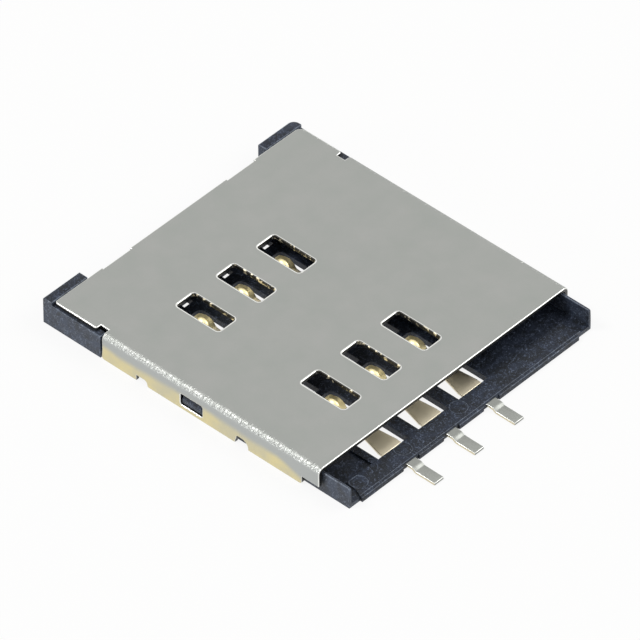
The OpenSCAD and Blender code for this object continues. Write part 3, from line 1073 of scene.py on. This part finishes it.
    def roll_over(self, part: DressedNode, mesh: BMesh, high: Vector) -> None:
        """Rolls the outer edges over with a painted highlight; the windows' right edges take a painted dark
        reflection with gold flecks instead.

        Args:
            part: The node that the copy was made from.
            mesh: Copy of the node, in millimetres.
            high: Largest corner of the shell's box, in millimetres.
        """
        outer = self.outer_edges(part, mesh, high)
        windows = [e for e in outer if self.in_window(e, high)]
        rims = [e for e in outer if not self.in_window(e, high) and not self.on_solder_edge(e)]
        # Window edges facing -X take the cuts' painted reflection in place of the painted highlight.
        for face in part.round_over(mesh, windows, self.window_roll, self.facets):
            repainted = face.normal.x < self.reflecting_side
            face.material_index = ShellSkin.PAINTED_CUT_REFLECTION if repainted else ShellSkin.PAINTED_ROLL_HIGHLIGHT
        for face in part.round_over(mesh, rims, self.roll, self.facets):
            face.material_index = ShellSkin.PAINTED_ROLL_HIGHLIGHT
        solder = [e for e in self.outer_edges(part, mesh, high) if self.on_solder_edge(e)]
        for face in part.round_over(mesh, solder, self.solder_roll, self.solder_facets):
            face.material_index = ShellSkin.PAINTED_ROLL_HIGHLIGHT

    def build(self) -> Object:
        """Builds the sheet, with a painted highlight on rolled edges and window rims, a painted reflection
        on some window cuts, and torn cuts darker than its faces.

        Returns:
            The finished piece.
        """
        part = DressedNode("shell", "folded_shell", "frame", "shell")
        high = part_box("shell")[1] / MM
        mesh = part.solid()
        for face in mesh.faces:
            face.material_index = self.skin_of(face, high)
        self.part_walls(mesh, high.z)
        self.rim_windows(mesh, high)
        self.roll_over(part, mesh, high)
        plated = NickelSheetFinish(half_width=high.x * MM, height=high.z * MM, bend=self.bend)
        # Rolled edges are painted near white: a painted highlight on the rounding.
        rolled = EdgeShearAndSheenFinish("rolled_nickel_edge_painted_highlight", colour="#f4f4f0", streak_colour="#dedfda")
        torn = EdgeShearAndSheenFinish("torn_steel_cut", colour="#6a6a68", streak_colour="#3c3c3c", roughness=0.3)
        # Dark with cream-gold flecks: a painted reflection of the window's dark inside and the gold
        # contacts.
        cut_reflection = EdgeShearAndSheenFinish(
            "steel_cut_painted_gold_reflection", colour="#3a3936", streak_colour="#efe4c6", roughness=0.45,
            streak=0.22 * MM, spread=(0.56, 0.66),
        )
        return part.finish(mesh, [plated.make(), rolled.make(), torn.make(), cut_reflection.make()])


@dataclass
class Contacts:
    """The stamped contact strips, in two rows.

    Attributes:
        edge: Width of the broken edges.
        facets: Facets of a broken edge.
        gold_reach: Length of the gold-dipped end.
        side: Least sideways share of the normal of a sheared side.
    """

    edge: float = 0.022 * MM
    facets: int = 2
    gold_reach: float = 1.15 * MM
    side: float = 0.8

    def is_side(self, face: BMFace) -> bool:
        """Whether a face is a sheared side of the strip."""
        return abs(face.normal.x) > self.side

    def strip(self, row: Row, column: Column, stretch: Stretch, materials: list[Material]) -> Object:
        """Builds one length of one contact.

        Args:
            row: Row of the contact.
            column: Place of the contact in its row.
            stretch: Which length of the strip.
            materials: Plated face, sheared side, and a painted highlight on the upper rounded edges.

        Returns:
            The finished piece.
        """
        contact = f"{row.value}_{column.value}"
        body = "frame" if stretch is Stretch.TAIL else f"{contact}_spring"
        part = DressedNode(
            f"{contact}_{stretch.value}", f"{contact}_contact_{stretch.value}", body, "contact"
        )
        mesh = part.solid()
        for face in mesh.faces:
            face.material_index = ContactSkin.SHEARED if self.is_side(face) else ContactSkin.PLATED
        edges = part.sharp_edges(mesh)
        if stretch is Stretch.ARM:
            edges = [e for e in edges if e.is_convex and any(self.is_side(f) for f in e.link_faces)]
        # Upward-facing rounded faces take a painted highlight; on an arm it is the same gold material.
        for face in part.round_over(mesh, edges, self.edge, self.facets):
            if face.normal.z > 0:
                face.material_index = ContactSkin.PAINTED_TOP_HIGHLIGHT
        return part.finish(mesh, materials)

    def build(self) -> list[Object]:
        """Builds every contact of both rows: tin tails with bare bronze sides, and gilded arms.

        Returns:
            The finished pieces.
        """
        tin = TinPlateFinish().make()
        bronze = EdgeShearAndSheenFinish("sheared_bronze_edge", colour="#e6dcbe", streak_colour="#c2b795").make()
        # Near white: a painted highlight along the tails' upper edges.
        rim = EdgeShearAndSheenFinish("tin_edge_painted_highlight", colour="#f0f0ec", streak_colour="#d6d7d2").make()
        made = []
        for row in Row:
            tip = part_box(f"{row.value}_left_arm")[1].y
            gilded = SpringStripFinish(row, tip - self.gold_reach).make()
            for column in Column:
                made.append(self.strip(row, column, Stretch.TAIL, [tin, bronze, rim]))
                made.append(self.strip(row, column, Stretch.ARM, [gilded] * len(ContactSkin)))
        return made


@dataclass(frozen=True)
class Lamp:
    """A soft square lamp that faces the socket.

    Attributes:
        name: Name of the lamp.
        azimuth: Where it stands, as for the camera, in degrees.
        elevation: How high it stands, as for the camera, in degrees.
        size: Side of its square.
        power: Watts.
    """

    name: str
    azimuth: float
    elevation: float
    size: float
    power: float


@dataclass
class Studio:
    """White table, soft lamps and the camera of the photograph.

    Attributes:
        azimuth: Camera's turn about Z from straight ahead of the mouth, in degrees.
        elevation: Camera's height above the table, in degrees.
        distance: Distance of the camera and the lamps from the frame's origin.
        shift: The camera's slide to its right and up, which centres the picture.
        lens: Focal length on a sensor of the given width, both in millimetres.
        sensor: Width of that sensor, in millimetres.
        reach: The far clip, and one over the near clip, in distances.
        table_size: Half the side of the table.
        table_colour: Colour of the table.
        table_roughness: Roughness of the table.
        table_glow: Share of plain white in the table as the camera and the metal see it.
        fill: Strength of the even light from all round.
        lamps: The lamps.
    """

    azimuth: float = -47.392
    elevation: float = 42.211
    distance: float = 446.49 * MM
    shift: tuple[float, float] = (0.414 * MM, -0.066 * MM)
    lens: float = 584.03
    sensor: float = 36.0
    reach: float = 20.0
    table_size: float = 0.5
    table_colour: str = "#f4f4f2"
    table_roughness: float = 0.9
    table_glow: float = 0.88
    fill: float = 0.4
    lamps: tuple[Lamp, ...] = (
        Lamp("soft_key", azimuth=-132.0, elevation=53.0, size=0.16, power=0.8),
        Lamp("soft_side", azimuth=-120.0, elevation=12.0, size=0.08, power=0.24),
        Lamp("soft_front", azimuth=52.0, elevation=42.0, size=0.3, power=0.75),
    )

    def look(self, azimuth: float, elevation: float) -> tuple[Vector, Vector, Vector]:
        """Directions of a view.

        Args:
            azimuth: Turn about Z, in degrees.
            elevation: Height above the table, in degrees.

        Returns:
            Unit vectors towards the viewer, to the viewer's right and up.
        """
        a, e = math.radians(azimuth), math.radians(elevation)
        back = Vector((math.sin(a) * math.cos(e), -math.cos(a) * math.cos(e), math.sin(e)))
        right = Vector((math.cos(a), math.sin(a), 0))
        return back, right, back.cross(right)

    def camera(self) -> None:
        """Sets the photograph's camera."""
        data = bpy.data.cameras.new("camera")
        data.lens = self.lens
        data.sensor_width = self.sensor
        data.clip_start = self.distance / self.reach
        data.clip_end = self.distance * self.reach
        camera = bpy.data.objects.new("camera", data)
        bpy.context.scene.collection.objects.link(camera)
        back, right, up = self.look(self.azimuth, self.elevation)
        camera.location = back * self.distance + right * self.shift[0] + up * self.shift[1]
        camera.rotation_mode = "QUATERNION"
        camera.rotation_quaternion = (-back).to_track_quat("-Z", "Y")
        bpy.context.scene.camera = camera

    def light(self, lamp: Lamp) -> None:
        """Adds one lamp that faces the socket.

        Args:
            lamp: The lamp.
        """
        data = bpy.data.lights.new(lamp.name, "AREA")
        data.shape = "SQUARE"
        data.size = lamp.size
        data.energy = lamp.power
        stand = bpy.data.objects.new(lamp.name, data)
        bpy.context.scene.collection.objects.link(stand)
        back = self.look(lamp.azimuth, lamp.elevation)[0]
        stand.location = back * self.distance
        stand.rotation_mode = "QUATERNION"
        stand.rotation_quaternion = (-back).to_track_quat("-Z", "Y")

    def seen(self, tree: NodeTree, level: float) -> Node:
        """Factor that is level for camera, mirror and glass rays, and 0 for the rays that carry light.

        Args:
            tree: Node tree to add to.
            level: Value for the rays that show the background.

        Returns:
            The node that gives the factor.
        """
        path = add_node(tree, "LightPath", {})
        shiny = add_node(
            tree, "Math",
            {0: path.outputs["Is Glossy Ray"], 1: path.outputs["Is Transmission Ray"]}, operation="MAXIMUM",
        )
        shown = add_node(tree, "Math", {0: path.outputs["Is Camera Ray"], 1: shiny}, operation="MAXIMUM")
        return add_node(tree, "Math", {0: shown, 1: level}, operation="MULTIPLY")

    def table(self) -> None:
        """Lays the white table, which keeps a faint shadow of the socket."""
        mesh = bmesh.new()
        bmesh.ops.create_grid(mesh, x_segments=1, y_segments=1, size=self.table_size)
        data = bpy.data.meshes.new("table")
        mesh.to_mesh(data)
        mesh.free()
        table = bpy.data.objects.new("table", data)
        bpy.context.scene.collection.objects.link(table)
        # A matte white board that looks plain white and still takes a shadow.
        material, tree, shader, _ = start_material("white_table")
        feed(tree, shader, {"Base Color": linear(self.table_colour), "Roughness": self.table_roughness})
        glow = add_node(tree, "Emission", {"Color": linear(WHITE), "Strength": 1.0})
        mixed = add_node(tree, "MixShader", {0: self.seen(tree, self.table_glow), 1: shader, 2: glow})
        feed(tree, tree.nodes["Material Output"], {"Surface": mixed})
        data.materials.append(material)

    def world(self) -> None:
        """Surrounds the socket with even light and a white background."""
        world = bpy.data.worlds.new("studio")
        world.use_nodes = True
        tree = world.node_tree
        light = tree.nodes["Background"]
        feed(tree, light, {"Color": linear(WHITE), "Strength": self.fill})
        white = add_node(tree, "Background", {"Color": linear(WHITE), "Strength": 1.0})
        mixed = add_node(tree, "MixShader", {0: self.seen(tree, 1.0), 1: light, 2: white})
        feed(tree, tree.nodes["World Output"], {"Surface": mixed})
        bpy.context.scene.world = world

    def build(self) -> None:
        """Sets the table, the light and the camera."""
        bpy.context.scene.view_settings.view_transform = "Standard"
        self.table()
        self.world()
        for lamp in self.lamps:
            self.light(lamp)
        self.camera()


def main() -> None:
    """Builds the socket's pieces in order, reports each, and sets the studio."""
    logging.basicConfig(level=logging.INFO, format="%(name)s: %(message)s")
    for piece in (Housing().build(), Shell().build(), *Contacts().build()):
        LOG.info("%s: %d faces", piece.name, len(piece.data.polygons))
    Studio().build()


if __name__ == "__main__":
    main()
